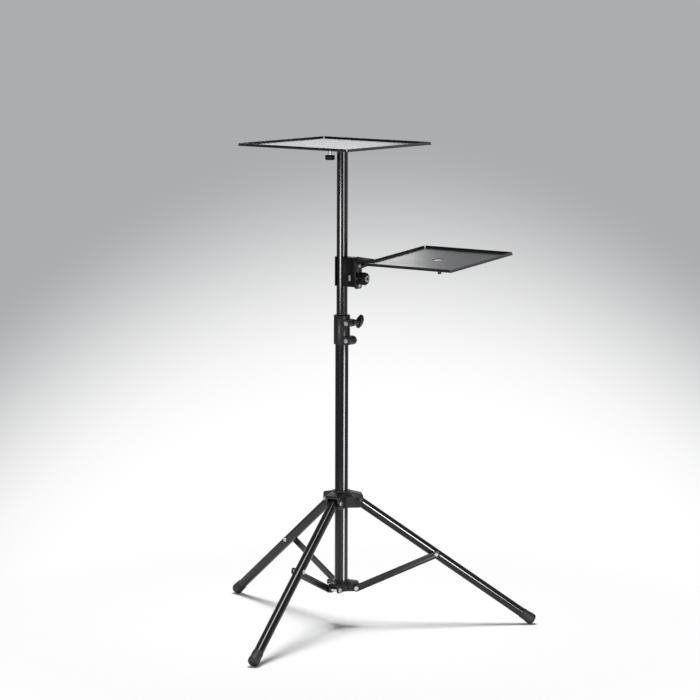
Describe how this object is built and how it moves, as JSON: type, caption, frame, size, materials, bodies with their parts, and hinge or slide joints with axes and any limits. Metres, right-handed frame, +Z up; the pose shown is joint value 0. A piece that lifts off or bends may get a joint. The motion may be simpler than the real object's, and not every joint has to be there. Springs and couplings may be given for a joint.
{
  "type": "tripod laptop stand",
  "caption": "Floor-standing folding tripod with a telescoping mast, a square lipped laptop platform on top and a smaller clamp-on tray beside it.",
  "frame": {"origin": "on the mast's axis at floor level", "axes": "+Z up along the mast, +X to the tray's side, -Y towards the viewer"},
  "size_m": [0.7079, 0.7792, 1.1079],
  "materials": {
    "tube_paint": "black semi-gloss powder coat",
    "sheet_paint": "black satin powder coat",
    "bar_paint": "dark grey satin coat",
    "hub_plastic": "fine moulded grain",
    "knob_plastic": "moulded",
    "foot_rubber": "matte",
    "plated_steel": "bright zinc plate"
  },
  "bodies": {
    "base": {"lower_tube": "tube_paint", "bottom_hub": "hub_plastic", "height_collar": "hub_plastic", "wing_bolt": "plated_steel", "wing_handle": "knob_plastic", "pinch_bolt": "plated_steel", "brace_axle_right": "plated_steel", "brace_axle_rear": "plated_steel", "brace_axle_front": "plated_steel"},
    "upper_mast": {"upper_tube": "tube_paint", "retaining_button": "plated_steel", "platform": "sheet_paint", "platform_flange": "sheet_paint", "platform_stud": "plated_steel", "platform_knob": "knob_plastic"},
    "tray_arm": {"tray": "sheet_paint", "tray_stop": "foot_rubber", "tray_bracket": "sheet_paint", "tray_clamp": "hub_plastic", "clamp_nut": "plated_steel", "clamp_screw": "plated_steel", "knob_washer": "plated_steel", "tray_knob": "knob_plastic", "tray_knob_nut": "plated_steel", "bracket_screw_upper": "plated_steel", "bracket_screw_lower": "plated_steel"},
    "crown": {"top_hub": "hub_plastic", "lock_stud": "plated_steel", "lock_knob": "knob_plastic", "pivot_bolt_right": "plated_steel", "pivot_bolt_rear": "plated_steel", "pivot_bolt_front": "plated_steel"},
    "leg_body_right": {"leg_right": "tube_paint", "foot_right": "foot_rubber", "leg_rivet_right": "plated_steel"},
    "brace_body_right": {"brace_right": "bar_paint", "brace_rivet_right": "plated_steel"},
    "leg_body_rear": {"leg_rear": "tube_paint", "foot_rear": "foot_rubber", "leg_rivet_rear": "plated_steel"},
    "brace_body_rear": {"brace_rear": "bar_paint", "brace_rivet_rear": "plated_steel"},
    "leg_body_front": {"leg_front": "tube_paint", "foot_front": "foot_rubber", "leg_rivet_front": "plated_steel"},
    "brace_body_front": {"brace_front": "bar_paint", "brace_rivet_front": "plated_steel"}
  },
  "joints": [
    {"name": "mast_slide", "type": "slide", "parent": "base", "child": "upper_mast", "axis": [0, 0, 1], "range_m": [-0.05, 0.15]},
    {"name": "tray_swivel", "type": "hinge", "parent": "upper_mast", "child": "tray_arm", "pos_m": [0, 0, 0.805], "axis": [0, 0, 1], "continuous": true},
    {"name": "fold_slide", "type": "slide", "parent": "base", "child": "crown", "axis": [0, 0, 1], "range_m": [0, 0.212]},
    {"name": "leg_fold_right", "type": "hinge", "parent": "crown", "child": "leg_body_right", "pos_m": [0.03888, 0.00306, 0.2937], "axis": [-0.0785, 0.9969, 0], "range_deg": [0, 51]},
    {"name": "brace_fold_right", "type": "hinge", "parent": "base", "child": "brace_body_right", "pos_m": [0.0333, 0.00262, 0.0924], "axis": [0.0785, -0.9969, 0], "range_deg": [0, 62]},
    {"name": "leg_fold_rear", "type": "hinge", "parent": "crown", "child": "leg_body_rear", "pos_m": [-0.02209, 0.03214, 0.2937], "axis": [-0.8241, -0.5664, 0], "range_deg": [0, 51]},
    {"name": "brace_fold_rear", "type": "hinge", "parent": "base", "child": "brace_body_rear", "pos_m": [-0.01892, 0.02753, 0.0924], "axis": [0.8241, 0.5664, 0], "range_deg": [0, 62]},
    {"name": "leg_fold_front", "type": "hinge", "parent": "crown", "child": "leg_body_front", "pos_m": [-0.01679, -0.0352, 0.2937], "axis": [0.9026, -0.4305, 0], "range_deg": [0, 51]},
    {"name": "brace_fold_front", "type": "hinge", "parent": "base", "child": "brace_body_front", "pos_m": [-0.01438, -0.03015, 0.0924], "axis": [-0.9026, 0.4305, 0], "range_deg": [0, 62]}
  ],
  "couplings": [
    {"joint": "leg_fold_right", "follows": "fold_slide", "rad_per_m": 4.1773},
    {"joint": "brace_fold_right", "follows": "fold_slide", "rad_per_m": 5.0474},
    {"joint": "leg_fold_rear", "follows": "fold_slide", "rad_per_m": 4.1773},
    {"joint": "brace_fold_rear", "follows": "fold_slide", "rad_per_m": 5.0474},
    {"joint": "leg_fold_front", "follows": "fold_slide", "rad_per_m": 4.1773},
    {"joint": "brace_fold_front", "follows": "fold_slide", "rad_per_m": 5.0474}
  ]
}
